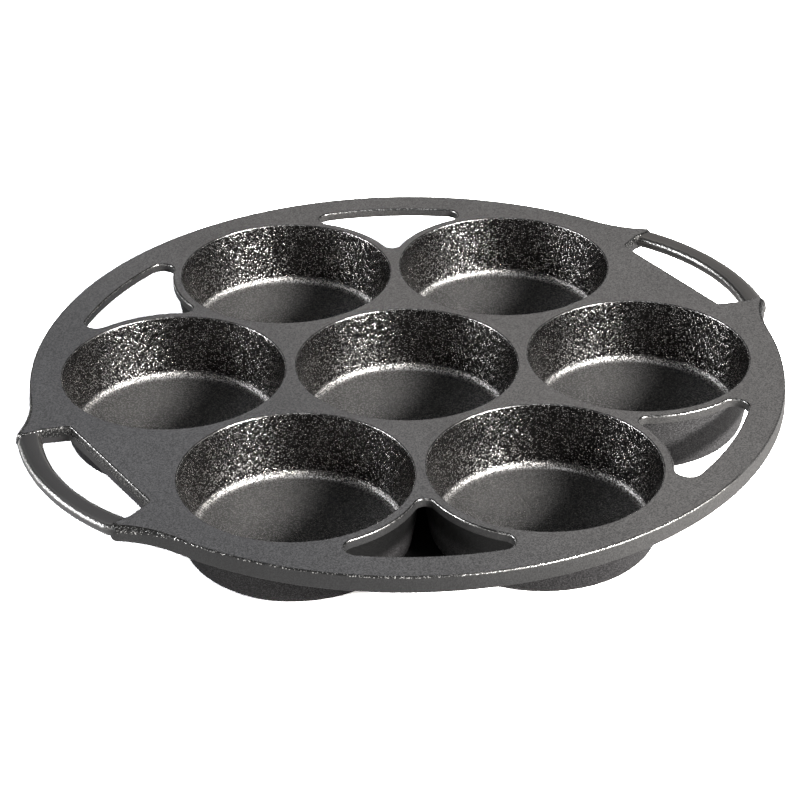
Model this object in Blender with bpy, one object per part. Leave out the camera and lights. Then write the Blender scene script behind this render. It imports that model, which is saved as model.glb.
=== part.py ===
"""Cast-iron cake pan: seven round cups hung from one pierced round plate, with a loop handle at each side.

Metres, +Z up. The origin is on the table under the middle of the pan, and the handles lie along X.
The real pan is one casting. Its regions are separate solids here, parted by GAP where they run together.
"""

import math

import bmesh
import bpy
from mathutils import Matrix, Vector

# Cups
MOUTH_RADIUS = 0.0410
MOUTH_WEB = 0.0040
CUP_DEPTH = 0.0244
CUP_DRAFT = math.radians(8.0)
WALL_THICKNESS = 0.0028
FLOOR_THICKNESS = 0.0028
FLOOR_FILLET = 0.0032
FOOT_FILLET = 0.0045
OUTER_CUPS = 6

# Plate
RIM_LAND = 0.0117
RIM_SPREAD = 0.0004
RIM_DEPTH = 0.0062
RIM_WIDTH = 0.0050
DECK_THICKNESS = 0.0034
POCKET_CORNER = 0.0060
EDGE_RADIUS = 0.0006

# Windows through the plate
WINDOW_RIM = 0.0118
WINDOW_CUP_EDGE = 0.0036
WINDOW_TIP_RADIUS = 0.0048
WINDOW_APEX_RADIUS = 0.0035

# Handles
HANDLE_REACH = 0.0104
HANDLE_HALF_LENGTH = 0.0331
FINGER_GAP = 0.0168
FINGER_GAP_HALF_LENGTH = 0.0293
BAR_WIDTH = 0.0081
BAR_HEIGHT = 0.0056
BAR_SINK = 0.0003
BAR_OUTER_RADIUS = 0.0970
BAR_INNER_RADIUS = 0.0775
BAR_SQUARENESS = 2.3
FLARE_RADIUS = 0.0475
SHOULDER_SET_IN = 0.0012
SHOULDER_CORNER = 0.0025
SHOULDER_ROUNDING = 0.0024
SHOULDER_ROUNDED_REACH = 0.0260
HANDLE_CORNER = 0.0015

# Fit and smoothness
GAP = 0.0003
CUTTER_OVERSHOOT = 0.0020
LATHE_STEPS = 42
BAR_STEPS = 16
SECTION_STEPS = 20
ARC_STEP = math.radians(3.6)
FILLET_STEP = math.radians(22.5)
EDGE_STEP = math.radians(45)
SHARP_ANGLE = math.radians(40)

# Seasoned iron, for the views
DECK_COLOUR = (0.135, 0.135, 0.135)
DECK_ROUGHNESS = 0.5
CUP_COLOUR = (0.075, 0.074, 0.074)
CUP_ROUGHNESS = 0.42
HANDLE_COLOUR = (0.105, 0.105, 0.105)
HANDLE_ROUGHNESS = 0.4
METALLIC = 0.8

# Sizes that follow from the ones above
PITCH = 2 * MOUTH_RADIUS + MOUTH_WEB
RING_RADIUS = PITCH / (2 * math.sin(math.pi / OUTER_CUPS))
PLATE_RADIUS = RING_RADIUS + MOUTH_RADIUS + RIM_LAND
DECK_TOP = CUP_DEPTH + FLOOR_THICKNESS
DECK_UNDERSIDE = DECK_TOP - DECK_THICKNESS
RIM_UNDERSIDE = DECK_TOP - RIM_DEPTH
CUP_TOP = DECK_UNDERSIDE - GAP
WINDOW_RADIUS = PLATE_RADIUS - WINDOW_RIM
WINDOW_CUP_RADIUS = MOUTH_RADIUS + WINDOW_CUP_EDGE
BAR_OUTER_X = PLATE_RADIUS + HANDLE_REACH
BAR_INNER_X = BAR_OUTER_X - BAR_WIDTH
BAR_CENTRE_Z = DECK_TOP - BAR_SINK - BAR_HEIGHT / 2
FINGER_GAP_X = BAR_INNER_X - FINGER_GAP

ORIGIN = Vector((0, 0))
CUP_ANGLES = [(step + 0.5) * math.tau / OUTER_CUPS for step in range(OUTER_CUPS)]
BETWEEN_CUPS = [step * math.tau / OUTER_CUPS for step in range(OUTER_CUPS)]


def direction(angle):
    return Vector((math.cos(angle), math.sin(angle)))


def heading(start, end):
    return math.atan2(end.y - start.y, end.x - start.x)


def arc(centre, radius, start, end, step=ARC_STEP):
    """Points from one angle to the other, both ends included."""
    count = max(2, math.ceil(abs(end - start) / step))
    return [centre + radius * direction(start + (end - start) * turn / count) for turn in range(count + 1)]


def meeting_point(first, from_first, second, from_second):
    """The point at those two distances, on the left of the line from the first centre to the second."""
    along = (second - first).normalized()
    apart = (second - first).length
    reach = (from_first**2 - from_second**2 + apart**2) / (2 * apart)
    return first + reach * along + math.sqrt(from_first**2 - reach**2) * Vector((-along.y, along.x))


def closed_outline(points, sides):
    """The points and their mirror images, across the X axis, and then across the Y axis too for four sides."""
    points = points + [point * Vector((1, -1)) for point in reversed(points)]
    if sides == 4:
        points = points + [point * Vector((-1, 1)) for point in reversed(points)]
    return [point for point, last in zip(points, points[-1:] + points[:-1]) if (point - last).length > 1e-6]


def edge_steps(top):
    """How far a cutter has widened at each height, to round the edge that it leaves at the top."""
    lift = [(1 - math.cos(turn), math.sin(turn) - 1) for turn in (0, EDGE_STEP)]
    out, up = 1 - lift[-1][0], -lift[-1][1]
    lift.append((1 + 4 * out, 4 * up))
    return [(EDGE_RADIUS * widen, top + EDGE_RADIUS * rise) for widen, rise in lift]


def bore_radius(z):
    """The inside of a cup at a height."""
    return MOUTH_RADIUS - (DECK_TOP - z) * math.tan(CUP_DRAFT)


def bar_side(side_x, side_radius, y):
    """Where one side of the handle bar is, at a distance from the middle of the handle."""
    return side_x - side_radius + math.sqrt(side_radius**2 - y**2)


def iron(name, colour, roughness):
    material = bpy.data.materials.new(name)
    material.use_nodes = True
    shader = material.node_tree.nodes["Principled BSDF"]
    shader.inputs["Base Color"].default_value = (*colour, 1)
    shader.inputs["Roughness"].default_value = roughness
    shader.inputs["Metallic"].default_value = METALLIC
    return material


def add_object(name, bm, material=None):
    """An object from a bmesh. Without a material it is a cutter, which isn't part of the pan."""
    bmesh.ops.remove_doubles(bm, verts=bm.verts, dist=1e-6)
    bmesh.ops.recalc_face_normals(bm, faces=bm.faces)
    mesh = bpy.data.meshes.new(name)
    bm.to_mesh(mesh)
    bm.free()
    made = bpy.data.objects.new(name, mesh)
    bpy.context.collection.objects.link(made)
    if material is None:
        made.hide_render = True
        made.display_type = "WIRE"
    else:
        mesh.materials.append(material)
        mesh.shade_smooth()
        mesh.set_sharp_from_angle(angle=SHARP_ANGLE)
    return made


def cut(target, cutter):
    boolean = target.modifiers.new(cutter.name, "BOOLEAN")
    boolean.operation = "DIFFERENCE"
    boolean.solver = "EXACT"
    boolean.object = cutter


def add_loft(bm, rings):
    """A closed body through rings that have as many points each."""
    loops = [[bm.verts.new(point) for point in ring] for ring in rings]
    for near, far in zip(loops, loops[1:]):
        for step in range(len(near)):
            bm.faces.new((near[step - 1], near[step], far[step], far[step - 1]))
    bm.faces.new(loops[0])
    bm.faces.new(loops[-1])


def add_lathe(bm, profile, centre):
    """A closed body spun from (radius, z) points, the first and the last on the axis."""
    verts = [bm.verts.new((centre.x + radius, centre.y, z)) for radius, z in profile]
    edges = [bm.edges.new(ends) for ends in zip(verts, verts[1:])]
    axis_point = (centre.x, centre.y, 0)
    bmesh.ops.spin(
        bm, geom=verts + edges, cent=axis_point, axis=(0, 0, 1), angle=math.tau, steps=LATHE_STEPS, use_merge=True
    )


def cup_centres():
    return [ORIGIN] + [RING_RADIUS * direction(angle) for angle in CUP_ANGLES]


def shoulder_circles():
    """The centres of the hollow flare from the plate's edge and of the round tip it ends in."""
    bar_end_x = bar_side(BAR_OUTER_X, BAR_OUTER_RADIUS, HANDLE_HALF_LENGTH)
    tip = Vector((bar_end_x - SHOULDER_SET_IN - SHOULDER_CORNER, HANDLE_HALF_LENGTH + SHOULDER_CORNER))
    return meeting_point(ORIGIN, PLATE_RADIUS + FLARE_RADIUS, tip, FLARE_RADIUS + SHOULDER_CORNER), tip


def plate_outline():
    """The plate's edge with its four shoulders, open at both ends to the handle bars."""
    end_y = HANDLE_HALF_LENGTH
    flare, tip = shoulder_circles()
    knee = Vector((bar_side(BAR_INNER_X, BAR_INNER_RADIUS, end_y) - GAP, end_y))
    slant = heading(Vector((FINGER_GAP_X, FINGER_GAP_HALF_LENGTH)), knee)
    drop = HANDLE_CORNER * (1 / math.cos(slant) - math.tan(slant))
    corner = Vector((FINGER_GAP_X + HANDLE_CORNER, FINGER_GAP_HALF_LENGTH - drop))
    quarter = arc(ORIGIN, PLATE_RADIUS, math.pi / 2, heading(ORIGIN, flare))
    quarter += arc(flare, FLARE_RADIUS, heading(flare, ORIGIN), heading(flare, tip))
    quarter += arc(tip, SHOULDER_CORNER, heading(tip, flare), -math.pi / 2, FILLET_STEP)
    quarter += [knee]
    quarter += arc(corner, HANDLE_CORNER, math.pi / 2 + slant, math.pi, FILLET_STEP)
    return closed_outline(quarter, 4)


def rounded_rings(outline, base, up, spread):
    """Rings from the side of a clockwise outline to a flat face, rounded more towards each shoulder's tip."""
    tip = shoulder_circles()[1]
    rings = [[], [], []]
    for last, point, following in zip(outline[-1:] + outline[:-1], outline, outline[1:] + outline[:1]):
        before = (point - last).orthogonal().normalized()
        after = (following - point).orthogonal().normalized()
        outward = (before + after) / (1 + before.dot(after))
        near = max(0, 1 - (Vector((abs(point.x), abs(point.y))) - tip).length / SHOULDER_ROUNDED_REACH)
        radius = EDGE_RADIUS + (SHOULDER_ROUNDING - EDGE_RADIUS) * near
        for ring, turn in zip(rings, (0, EDGE_STEP, 2 * EDGE_STEP)):
            wider = spread * max(0, outward.dot(point.normalized()))
            inset = point + (wider - radius * (1 - math.cos(turn))) * outward
            ring.append((inset.x, inset.y, base - up * radius * (1 - math.sin(turn))))
    return rings


def pocket_outline():
    """The thin middle of the plate seen from below: round, but straight in front of each handle."""
    pad_x = RING_RADIUS * math.cos(CUP_ANGLES[0]) + bore_radius(CUP_TOP) + WALL_THICKNESS + 2 * GAP
    radius = PLATE_RADIUS - RIM_WIDTH
    corner_x = pad_x - POCKET_CORNER
    corner = Vector((corner_x, math.sqrt((radius - POCKET_CORNER) ** 2 - corner_x**2)))
    quarter = arc(ORIGIN, radius, math.pi / 2, heading(ORIGIN, corner))
    quarter += arc(corner, POCKET_CORNER, heading(ORIGIN, corner), 0, FILLET_STEP)
    return closed_outline(quarter, 4)


def window_outline(angle, widen):
    """A three-cornered window between the plate's edge and two cups, every side parallel to what it faces."""
    cup = RING_RADIUS * direction(math.pi / OUTER_CUPS)
    apex_reach = math.sqrt((WINDOW_CUP_RADIUS + WINDOW_APEX_RADIUS) ** 2 - cup.y**2)
    apex = Vector((cup.x + apex_reach, 0))
    tip_from_cup = WINDOW_CUP_RADIUS + WINDOW_TIP_RADIUS
    tip = meeting_point(cup, tip_from_cup, ORIGIN, WINDOW_RADIUS - WINDOW_TIP_RADIUS)
    half = arc(ORIGIN, WINDOW_RADIUS + widen, 0, heading(ORIGIN, tip))
    half += arc(tip, WINDOW_TIP_RADIUS + widen, heading(ORIGIN, tip), heading(tip, cup), FILLET_STEP)
    half += arc(cup, WINDOW_CUP_RADIUS - widen, heading(cup, tip), heading(cup, apex))
    half += arc(apex, WINDOW_APEX_RADIUS + widen, heading(apex, cup), math.pi, FILLET_STEP)
    turn = Matrix.Rotation(angle, 2)
    return [turn @ point for point in closed_outline(half, 2)]


def make_window_cutter():
    bottom = RIM_UNDERSIDE - CUTTER_OVERSHOOT
    levels = [(0, bottom)] + edge_steps(DECK_TOP)
    bm = bmesh.new()
    for angle in BETWEEN_CUPS:
        if abs(RING_RADIUS * math.sin(angle)) > HANDLE_HALF_LENGTH:
            add_loft(bm, [[(p.x, p.y, z) for p in window_outline(angle, widen)] for widen, z in levels])
    return add_object("window_cutter", bm)


def make_mouth_cutter():
    bottom = RIM_UNDERSIDE - CUTTER_OVERSHOOT
    side = [(bore_radius(bottom), bottom)] + [(bore_radius(z) + widen, z) for widen, z in edge_steps(DECK_TOP)]
    profile = [(0, bottom)] + side + [(0, side[-1][1])]
    bm = bmesh.new()
    for centre in cup_centres():
        add_lathe(bm, profile, centre)
    return add_object("mouth_cutter", bm)


def make_pocket_cutter():
    bm = bmesh.new()
    outline = pocket_outline()
    bottom = RIM_UNDERSIDE - CUTTER_OVERSHOOT
    add_loft(bm, [[(p.x, p.y, z) for p in outline] for z in (bottom, DECK_UNDERSIDE)])
    return add_object("pocket_cutter", bm)


def make_deck_plate(material):
    bm = bmesh.new()
    outline = plate_outline()
    lower = rounded_rings(outline, RIM_UNDERSIDE, -1, RIM_SPREAD)
    add_loft(bm, lower[::-1] + rounded_rings(outline, DECK_TOP, 1, 0))
    plate = add_object("deck_plate", bm, material)
    for cutter in (make_pocket_cutter(), make_mouth_cutter(), make_window_cutter()):
        cut(plate, cutter)


def cup_profile():
    """From the middle of the floor, up the inside, over the top and down the outside to the foot."""
    slope = math.tan(CUP_DRAFT)
    inner = Vector((0, FLOOR_THICKNESS + FLOOR_FILLET))
    inner.x = bore_radius(inner.y) - FLOOR_FILLET / math.cos(CUP_DRAFT)
    outer = Vector((0, FOOT_FILLET))
    outer.x = bore_radius(outer.y) + WALL_THICKNESS - FOOT_FILLET / math.cos(CUP_DRAFT)
    profile = [Vector((0, FLOOR_THICKNESS))]
    profile += arc(inner, FLOOR_FILLET, -math.pi / 2, -CUP_DRAFT, FILLET_STEP)
    profile += [Vector((bore_radius(CUP_TOP), CUP_TOP)), Vector((bore_radius(CUP_TOP) + WALL_THICKNESS, CUP_TOP))]
    profile += arc(outer, FOOT_FILLET, -CUP_DRAFT, -math.pi / 2, FILLET_STEP)
    return profile + [Vector((0, 0))]


def make_cup(name, centre, material):
    """A turned cup, cut flat where its wall runs into the wall of a cup beside it."""
    bm = bmesh.new()
    add_lathe(bm, cup_profile(), centre)
    bmesh.ops.remove_doubles(bm, verts=bm.verts, dist=1e-6)
    for other in cup_centres():
        apart = (other - centre).length
        if 0 < apart < PITCH + WALL_THICKNESS:
            towards = (other - centre).normalized()
            flat = centre + (apart - GAP) / 2 * towards
            geometry = bm.verts[:] + bm.edges[:] + bm.faces[:]
            split = bmesh.ops.bisect_plane(
                bm, geom=geometry, plane_co=flat.to_3d(), plane_no=towards.to_3d(), clear_outer=True
            )
            rim = [item for item in split["geom_cut"] if isinstance(item, bmesh.types.BMEdge)]
            bmesh.ops.edgeloop_fill(bm, edges=rim)
    add_object(name, bm, material)


def make_handle(name, side, material):
    """The bar of a loop handle: an oval section that follows its two arcs between the shoulders."""
    end_y = HANDLE_HALF_LENGTH - GAP
    squareness = 2 / BAR_SQUARENESS
    rings = []
    for step in range(BAR_STEPS + 1):
        y = end_y * (2 * step / BAR_STEPS - 1)
        outer = bar_side(BAR_OUTER_X, BAR_OUTER_RADIUS, y)
        inner = bar_side(BAR_INNER_X, BAR_INNER_RADIUS, y)
        ring = []
        for turn in range(SECTION_STEPS):
            across = direction(math.tau * turn / SECTION_STEPS)
            wide = math.copysign(abs(across.x) ** squareness, across.x)
            high = math.copysign(abs(across.y) ** squareness, across.y)
            x = (outer + inner) / 2 + (outer - inner) / 2 * wide
            ring.append((side * x, y, BAR_CENTRE_Z + BAR_HEIGHT / 2 * high))
        rings.append(ring)
    bm = bmesh.new()
    add_loft(bm, rings)
    add_object(name, bm, material)


def main():
    for leftover in list(bpy.data.objects):
        bpy.data.objects.remove(leftover, do_unlink=True)
    make_deck_plate(iron("deck_iron", DECK_COLOUR, DECK_ROUGHNESS))
    cup_iron = iron("cup_iron", CUP_COLOUR, CUP_ROUGHNESS)
    make_cup("cup_centre", ORIGIN, cup_iron)
    for number, centre in enumerate(cup_centres()[1:], 1):
        make_cup(f"cup_outer_{number}", centre, cup_iron)
    handle_iron = iron("handle_iron", HANDLE_COLOUR, HANDLE_ROUGHNESS)
    make_handle("handle_left", -1, handle_iron)
    make_handle("handle_right", 1, handle_iron)


main()
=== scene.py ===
"""Finished surfaces, studio and camera for the cast-iron cake pan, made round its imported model.

Metres, +Z up. The origin is on the table under the middle of the pan, and the handles lie along X.
Each piece is a skin that stands for one node of the model, and the skins meet without a visible seam.
"""

import math

import bmesh
import bpy
from bpy.props import FloatProperty, FloatVectorProperty, IntProperty, PointerProperty
from mathutils import Matrix, Vector


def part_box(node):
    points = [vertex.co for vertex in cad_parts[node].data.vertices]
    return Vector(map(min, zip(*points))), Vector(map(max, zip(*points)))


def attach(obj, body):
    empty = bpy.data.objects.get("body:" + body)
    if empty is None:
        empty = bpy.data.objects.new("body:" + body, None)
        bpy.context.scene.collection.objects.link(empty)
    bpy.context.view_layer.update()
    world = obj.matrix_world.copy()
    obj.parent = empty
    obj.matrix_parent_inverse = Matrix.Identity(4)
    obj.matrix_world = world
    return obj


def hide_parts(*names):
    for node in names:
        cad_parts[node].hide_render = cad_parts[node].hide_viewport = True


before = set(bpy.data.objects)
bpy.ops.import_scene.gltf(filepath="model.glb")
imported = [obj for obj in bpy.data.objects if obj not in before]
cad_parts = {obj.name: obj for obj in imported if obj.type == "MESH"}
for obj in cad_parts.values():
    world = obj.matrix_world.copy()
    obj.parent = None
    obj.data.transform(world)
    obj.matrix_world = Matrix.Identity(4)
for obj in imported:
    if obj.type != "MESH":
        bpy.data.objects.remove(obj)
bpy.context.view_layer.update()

bl_info = {
    "name": "Cake Pan",
    "version": (1, 0, 0),
    "blender": (4, 5, 0),
    "location": "3D View > Sidebar > Cake Pan",
    "description": "Makes the finished iron surfaces of the cake pan, and a studio to look at it in",
    "category": "Object",
}

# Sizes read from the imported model
DECK_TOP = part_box("deck_plate")[1].z
RIM_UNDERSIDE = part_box("deck_plate")[0].z
BAR_OUTER_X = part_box("handle_right")[1].x
BAR_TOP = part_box("handle_right")[1].z
BAR_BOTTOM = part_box("handle_right")[0].z

# Cups
OUTER_CUPS = 6
MOUTH_WEB = 0.0040
FLOOR_THICKNESS = 0.0028
FLOOR_FILLET = 0.0032
WALL_THICKNESS = 0.0028
FOOT_SET_IN = 0.0004
FOOT_FILLET = 0.0052
UNDER_DECK_FILLET = 0.0009
SEAM_DEPTH = 0.0014
SEAM_OVERLAP = 0.0011

# Plate
RIM_SPREAD = 0.0004
RIM_WIDTH = 0.0050
DECK_THICKNESS = 0.0034
POCKET_CORNER = 0.0060
POCKET_DRAFT = 0.0004
POCKET_LIP = 0.0008
POCKET_FILLET = 0.0015
POCKET_CLEARANCE = 0.0006
EVEN_BAND = 0.00015

# Windows through the plate
WINDOW_RIM = 0.0118
WINDOW_CUP_EDGE = 0.0036
WINDOW_TIP_RADIUS = 0.0048
WINDOW_APEX_RADIUS = 0.0035
WINDOW_LOWER_EDGE = 0.0003

# Handles
HANDLE_REACH = 0.0104
HANDLE_HALF_LENGTH = 0.0331
FINGER_GAP = 0.0168
FINGER_GAP_HALF_LENGTH = 0.0293
HANDLE_CORNER = 0.0015
BAR_WIDTH = 0.0081
BAR_OUTER_RADIUS = 0.0970
BAR_INNER_RADIUS = 0.0775
BAR_SQUARENESS = 2.3
BAR_ROOT = 0.0036
BAR_ROOT_TAPER = 0.0022
FLARE_RADIUS = 0.0475
SHOULDER_SET_IN = 0.0012
SHOULDER_CORNER = 0.0025
SHOULDER_ROUNDED_REACH = 0.0300

# The slope at which the bars are worn brightest, and how far from it the wear ends
BAR_SHINE = 0.58
BAR_SHINE_SPREAD = 0.34

# Materials of the plate: its top, edges, mouths, sides and underside, finger gaps and lips
DECK_MATERIALS = ("plate_iron", "edge_iron_skin", "cup_iron_skin", "side_iron", "gap_iron_skin", "lip_iron")

# How much of each finish a place on a cup has
SKIN_ZONES = ("pebbled", "worn", "outside")

# Colours of the iron where its black finish is worn away, and of the painted shade and painted light on the
# cups' outsides
BARE_IRON = (0.80, 0.79, 0.77, 1)
BARE_SPECK = (0.95, 0.93, 0.91, 1)
BARE_LIP = (0.72, 0.71, 0.70, 1)
# Painted shade on the upper outsides of the cups, under the plate
PAINTED_SHADE_IRON = (0.004, 0.004, 0.004, 1)
# Painted light on the outsides of the cups towards +X
PAINTED_LIGHT_IRON = (0.058, 0.057, 0.058, 1)
# Painted light and shade: tints that make the iron cooler and darker towards -X and warmer and paler towards
# +X
PAINTED_SHADE_TINT = (0.80, 0.81, 0.84, 1)
PAINTED_LIGHT_TINT = (1.09, 1.07, 1.05, 1)

# Where a finish starts to change and where it has changed, along X, Y or Z
# Painted light on the seasoning: where it turns warmer and paler along X
PAINTED_TINT_X = (-0.12, 0.03)
# Painted light on the plate's sides: where they turn paler along X
PAINTED_SIDE_LIGHT_X = (-0.08, 0.06)
# Painted light on the cups' outsides: where they turn paler along X
PAINTED_LIGHT_X = (-0.01, 0.05)
# Painted shade on the cups' outsides: where it fades along X and Z
PAINTED_SHADE_X = (-0.01, 0.04)
PAINTED_SHADE_Z = (0.010, 0.016)
RUBBED_Y = (-0.136, -0.122)
CALM_X = (0.02, 0.06)
CALM_Y = (-0.07, -0.05)
GAP_ROUGH_Z = (DECK_TOP - 0.0042, DECK_TOP - 0.0030)

# Size of the grain on the edges and the bars
EDGE_PEBBLES = 0.0006
LIP_PEBBLES = 0.0010
BAR_PEBBLES = 0.0009
BAR_GRAIN = 0.0006

# Depth of the grain of each finish
DECK_GRAIN_DEPTH = 0.00006
SIDE_GRAIN_DEPTH = 0.00010
CUP_PEBBLE_DEPTH = 0.00010
EDGE_PEBBLE_DEPTH = 0.00009
LIP_PEBBLE_DEPTH = 0.00003
GAP_PEBBLE_DEPTH = 0.00012
BAR_PEBBLE_DEPTH = 0.00010

# Darkest and palest tones that the grain gives a colour, and the sides' painted light from -X to +X
GRAIN_TONES = (0.6, 1.4)
CUP_GRAIN_TONES = (0.45, 1.55)
PEBBLE_TONES = (0.65, 1.4)
SIDE_PAINTED_LIGHT_TONES = (0.7, 1.7)

# Roughness of each finish, from one end to the other where it changes
DECK_ROUGHNESS = (0.50, 0.58)
SIDE_ROUGHNESS = 0.52
FLOOR_ROUGHNESS = 0.40
WALL_ROUGHNESS = 0.17
OUTSIDE_ROUGHER = 0.2
EDGE_ROUGHNESS = (0.34, 0.26)
LIP_ROUGHNESS = 0.27
GAP_ROUGHNESS = (0.45, 0.27)
BAR_ROUGHNESS = (0.28, 0.36)

# Studio
BACKDROP_LEVEL = 0.20
BACKDROP_TOP = 0.04
BACKDROP_FADE = 0.15
FLOOR_HALF_WIDTH = 6.0
FLOOR_REFLECTED = (0.75, 0.75, 0.75, 1)
FLOOR_IN_VIEW = (6.0, 6.0, 6.0, 1)
# Painted shadow on the floor close under the pan, seen only by the camera, and the radii where it fades out
FLOOR_PAINTED_SHADOW = (0.06, 0.06, 0.06, 1)
PAINTED_SHADOW_RADII = (0.090, 0.108)

# Softboxes, each with its angle from +X, angle above the table, distance, width, height and colour
SOFTBOXES = {
    "key": (-69, 27, 4.0, 1.68, 0.48, (1.0, 0.975, 0.95)),
    "top": (-123, 80, 1.5, 0.60, 0.60, (0.97, 0.98, 1.0)),
    "fill": (147, 20, 2.6, 1.10, 0.50, (0.97, 0.98, 1.0)),
}

# The photograph's view
CAMERA_PLACE = (-0.44644, -0.67622, 0.49442)
CAMERA_RIGHT = (0.83409755, -0.55157364, -0.00691418)
CAMERA_UP = (0.28755139, 0.4240744, 0.85876371)
CAMERA_LENS = 113.83
CAMERA_SENSOR = 36.0
CAMERA_NEAREST = 0.05
CAMERA_FARTHEST = 20.0

# Smoothness
ARC_STEP = math.radians(1.5)
SHOULDER_STEP = math.radians(9)
FLOOR_FILLET_STEP = math.radians(7)
FOOT_FILLET_STEP = math.radians(8)
UNDER_DECK_FILLET_STEP = math.radians(20)
FLOOR_ROWS = (0, 0.25, 0.5, 0.75, 0.95)
WALL_ROWS = 6
FOOT_ROWS = (0.9, 0.5, 0)
ROUNDING_STEPS = 6
BAR_STEPS = 72
SECTION_STEPS = 48
SHARP_ANGLE = math.radians(40)
MERGE_DISTANCE = 1e-6

# The upright part of a normal below which a face is a wall
LEVEL_NORMAL = 0.5

# Sizes that follow from the ones above
PLATE_RADIUS = BAR_OUTER_X - HANDLE_REACH
DECK_UNDERSIDE = DECK_TOP - DECK_THICKNESS
CUP_SHELF = DECK_UNDERSIDE + 2 * EVEN_BAND
SEAM_HEIGHT = DECK_TOP - SEAM_DEPTH
WINDOW_RADIUS = PLATE_RADIUS - WINDOW_RIM
BAR_INNER_X = BAR_OUTER_X - BAR_WIDTH
FINGER_GAP_X = BAR_INNER_X - FINGER_GAP

ORIGIN = Vector((0, 0))
CUP_ANGLES = [(step + 0.5) * math.tau / OUTER_CUPS for step in range(OUTER_CUPS)]
BETWEEN_CUPS = [step * math.tau / OUTER_CUPS for step in range(OUTER_CUPS)]


class PanSizes(bpy.types.PropertyGroup):
    """Sizes of the pan that change how its edges and mouths look."""

    mouth_radius: FloatProperty(
        name="Mouth Radius", description="Radius of each cup at its mouth", default=0.041, unit="LENGTH"
    )
    cup_draft: FloatProperty(
        name="Cup Draft", description="Lean of the cup walls", default=math.radians(8), subtype="ANGLE"
    )
    lip_rounding: FloatProperty(
        name="Lip Rounding", description="Rounding of the mouths' edges", default=0.0005, unit="LENGTH"
    )
    window_rounding: FloatProperty(
        name="Window Rounding", description="Rounding of the windows' edges", default=0.0006, unit="LENGTH"
    )
    rim_rounding: FloatProperty(
        name="Rim Rounding", description="Rounding of the plate's edge", default=0.0006, unit="LENGTH"
    )
    shoulder_rounding: FloatProperty(
        name="Shoulder Rounding", description="Rounding of the shoulders' tips", default=0.0022, unit="LENGTH"
    )
    mouth_segments: IntProperty(
        name="Mouth Segments", description="Flat steps round each cup", default=144, min=24, max=256
    )


class IronFinish(bpy.types.PropertyGroup):
    """Colours and grain of the seasoned iron."""

    deck_colour: FloatVectorProperty(
        name="Plate Colour", description="Top of the plate", default=(0.090, 0.090, 0.091), subtype="COLOR"
    )
    wall_colour: FloatVectorProperty(
        name="Wall Colour", description="Walls of the cups", default=(0.0045, 0.0043, 0.0041), subtype="COLOR"
    )
    floor_colour: FloatVectorProperty(
        name="Floor Colour", description="Floors of the cups", default=(0.086, 0.085, 0.084), subtype="COLOR"
    )
    outside_colour: FloatVectorProperty(
        name="Outside Colour", description="Outsides of cups", default=(0.032, 0.031, 0.032), subtype="COLOR"
    )
    side_colour: FloatVectorProperty(
        name="Side Colour", description="Sides of the plate", default=(0.033, 0.033, 0.033), subtype="COLOR"
    )
    edge_colour: FloatVectorProperty(
        name="Edge Colour", description="Rounded edges", default=(0.010, 0.010, 0.010), subtype="COLOR"
    )
    bar_colour: FloatVectorProperty(
        name="Bar Colour", description="Handle bars", default=(0.062, 0.061, 0.060), subtype="COLOR"
    )
    pebble_size: FloatProperty(
        name="Pebble Size", description="Size of the cups' pebbled grain", default=0.00055, unit="LENGTH"
    )
    grain_size: FloatProperty(
        name="Grain Size", description="Size of the fine grain of the plate", default=0.00045, unit="LENGTH"
    )


class StudioSettings(bpy.types.PropertyGroup):
    """Floor and light of the studio."""

    floor_colour: FloatVectorProperty(
        name="Floor Colour", description="Floor of the studio", default=(0.50, 0.50, 0.50), subtype="COLOR"
    )
    key_power: FloatProperty(name="Key Power", description="Power of the key", default=420.0, unit="POWER")
    top_power: FloatProperty(name="Top Power", description="Power overhead", default=1.6, unit="POWER")
    fill_power: FloatProperty(name="Fill Power", description="Power of the fill", default=42.0, unit="POWER")
    sky_strength: FloatProperty(
        name="Sky Strength", description="Strength of the ceiling above the backdrop", default=0.05
    )


def direction(angle):
    return Vector((math.cos(angle), math.sin(angle)))


def heading(start, end):
    return math.atan2(end.y - start.y, end.x - start.x)


def arc(centre, radius, start, end, step=ARC_STEP):
    """Points from one angle to the other, both ends included."""
    count = max(2, math.ceil(abs(end - start) / step))
    return [centre + radius * direction(start + (end - start) * turn / count) for turn in range(count + 1)]


def meeting_point(first, from_first, second, from_second):
    """The point at those two distances, on the left of the line from the first centre to the second."""
    along = (second - first).normalized()
    apart = (second - first).length
    reach = (from_first**2 - from_second**2 + apart**2) / (2 * apart)
    return first + reach * along + math.sqrt(from_first**2 - reach**2) * Vector((-along.y, along.x))


def without_repeats(points):
    pairs = zip(points, points[-1:] + points[:-1])
    return [point for point, last in pairs if (point - last).length > MERGE_DISTANCE]


def closed_outline(points, sides):
    """The points and their mirror images across the X axis, and across the Y axis too for four sides."""
    points = points + [mirrored(point, 1, -1) for point in reversed(points)]
    if sides == 4:
        points = points + [mirrored(point, -1, 1) for point in reversed(points)]
    return without_repeats(points)


def mirrored(point, x, y):
    """A point of an outline across an axis. A third number, such as a rounding, stays."""
    return Vector((point[0] * x, point[1] * y, *point[2:]))


def pitch(sizes):
    return 2 * sizes.mouth_radius + MOUTH_WEB


def ring_radius(sizes):
    return pitch(sizes) / (2 * math.sin(math.pi / OUTER_CUPS))


def bore_radius(sizes, z):
    """The inside of a cup at a height."""
    return sizes.mouth_radius - (DECK_TOP - z) * math.tan(sizes.cup_draft)


def cup_centres(sizes):
    return [ORIGIN] + [ring_radius(sizes) * direction(angle) for angle in CUP_ANGLES]


def bar_side(side_x, side_radius, y):
    """Where one side of the handle bar is, at a distance from the middle of the handle."""
    return side_x - side_radius + math.sqrt(side_radius**2 - y**2)


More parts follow.
